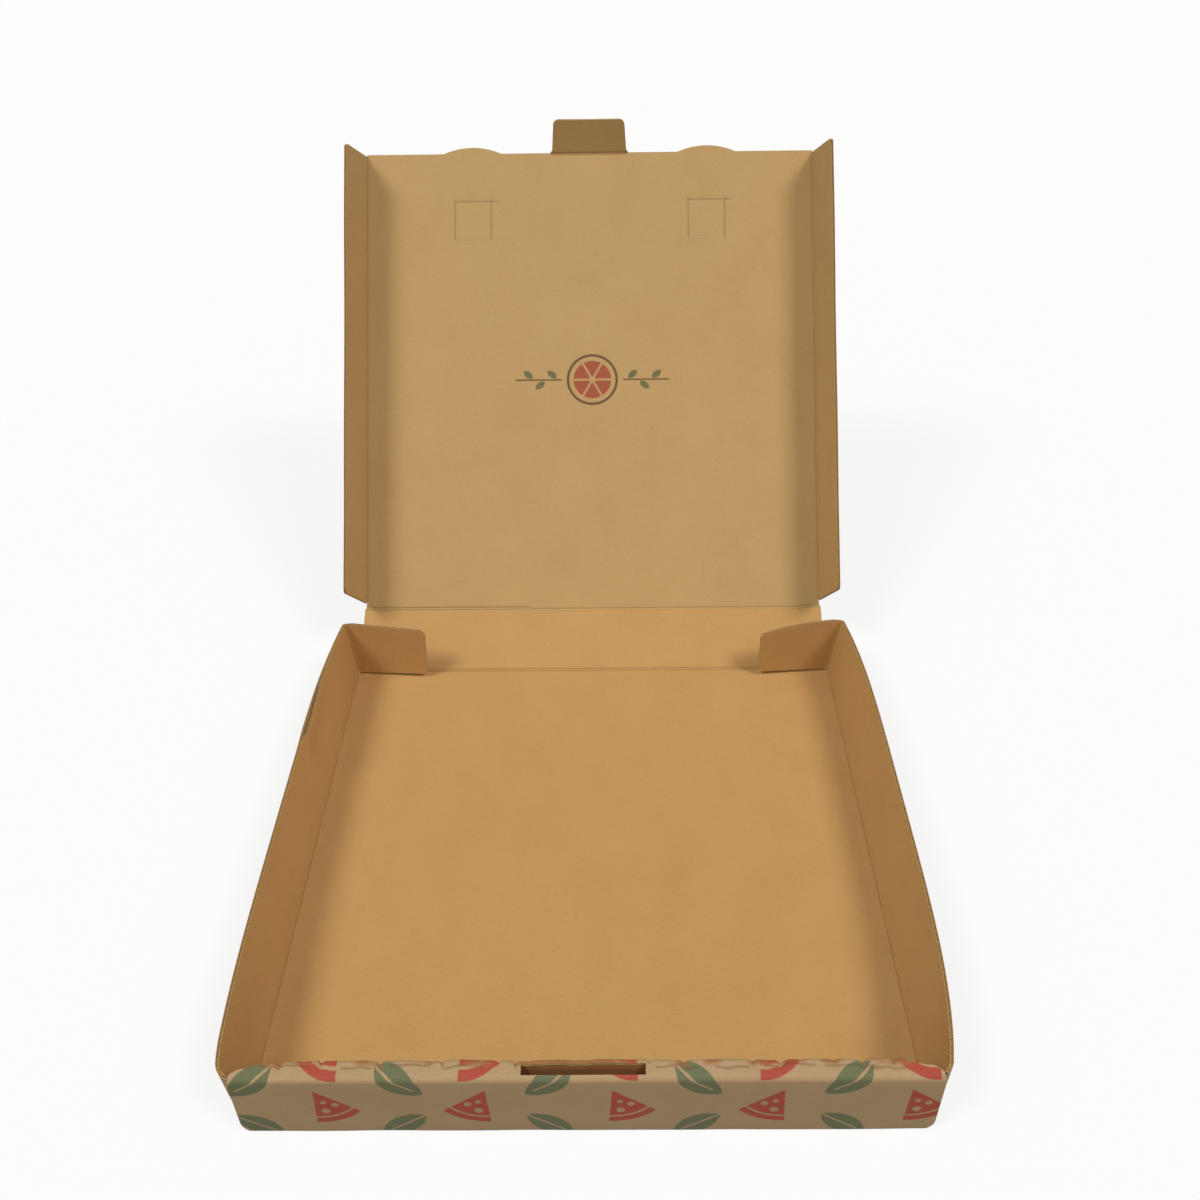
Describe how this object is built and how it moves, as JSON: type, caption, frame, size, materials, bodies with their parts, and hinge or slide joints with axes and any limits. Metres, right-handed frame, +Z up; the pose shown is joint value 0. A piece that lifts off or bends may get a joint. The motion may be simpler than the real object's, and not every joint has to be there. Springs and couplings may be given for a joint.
{
  "type": "pizza box",
  "caption": "Open corrugated pizza box: shallow tray with a rolled-over front wall, and a hinged lid with side flaps, a lock tab and small vent flaps.",
  "frame": {"origin": "middle of the tray's underside, where it rests on the table", "axes": "+Z up, -Y out of the tray's front wall, +X to the right as seen from the front"},
  "size_m": [0.3281, 0.5487, 0.2846],
  "materials": {
    "board": "matt"
  },
  "bodies": {
    "tray": {"tray": "board"},
    "rear_wall": {"rear_wall": "board"},
    "lid": {"lid": "board"},
    "lid_lock_tab": {"lid_lock_tab": "board"},
    "vent_flap_left": {"vent_flap_left": "board"},
    "vent_flap_right": {"vent_flap_right": "board"},
    "lid_side_flap_left": {"lid_side_flap_left": "board"},
    "lid_side_flap_right": {"lid_side_flap_right": "board"},
    "rear_corner_flap_left": {"rear_corner_flap_left": "board"},
    "rear_corner_flap_right": {"rear_corner_flap_right": "board"}
  },
  "joints": [
    {"name": "rear_wall_hinge", "type": "hinge", "parent": "tray", "child": "rear_wall", "pos_m": [0, 0.1555, 0.0008], "axis": [-1, 0, 0], "range_deg": [-60, 17.6]},
    {"name": "lid_hinge", "type": "hinge", "parent": "rear_wall", "child": "lid", "pos_m": [0, 0.19352, 0.02275], "axis": [-1, 0, 0], "range_deg": [-69.5, 20.5]},
    {"name": "lid_side_flap_left_hinge", "type": "hinge", "parent": "lid", "child": "lid_side_flap_left", "pos_m": [-0.151, 0.29132, 0.14139], "axis": [0, -0.6361, -0.7716], "range_deg": [-9, 81]},
    {"name": "lid_side_flap_right_hinge", "type": "hinge", "parent": "lid", "child": "lid_side_flap_right", "pos_m": [0.151, 0.29132, 0.14139], "axis": [0, 0.6361, 0.7716], "range_deg": [-9, 81]},
    {"name": "lid_lock_tab_hinge", "type": "hinge", "parent": "lid", "child": "lid_lock_tab", "pos_m": [0, 0.38879, 0.25964], "axis": [-1, 0, 0], "range_deg": [-45, 45]},
    {"name": "vent_flap_left_hinge", "type": "hinge", "parent": "lid", "child": "vent_flap_left", "pos_m": [-0.0786, 0.3519, 0.21488], "axis": [1, 0, 0], "range_deg": [0, 75]},
    {"name": "vent_flap_right_hinge", "type": "hinge", "parent": "lid", "child": "vent_flap_right", "pos_m": [0.0786, 0.3519, 0.21488], "axis": [1, 0, 0], "range_deg": [0, 75]},
    {"name": "rear_corner_flap_left_hinge", "type": "hinge", "parent": "tray", "child": "rear_corner_flap_left", "pos_m": [-0.1522, 0.15272, 0.002], "axis": [0.0733, 0, -0.9973], "range_deg": [-6, 42]},
    {"name": "rear_corner_flap_right_hinge", "type": "hinge", "parent": "tray", "child": "rear_corner_flap_right", "pos_m": [0.1522, 0.15272, 0.002], "axis": [0.1096, 0, 0.994], "range_deg": [-6, 42]}
  ],
  "couplings": [
    {"joint": "lid_hinge", "follows": "rear_wall_hinge", "ratio": 1.1583},
    {"joint": "lid_side_flap_left_hinge", "follows": "rear_wall_hinge", "ratio": 0.15},
    {"joint": "lid_side_flap_right_hinge", "follows": "rear_wall_hinge", "ratio": 0.15},
    {"joint": "lid_lock_tab_hinge", "follows": "rear_wall_hinge", "ratio": 0.75}
  ]
}
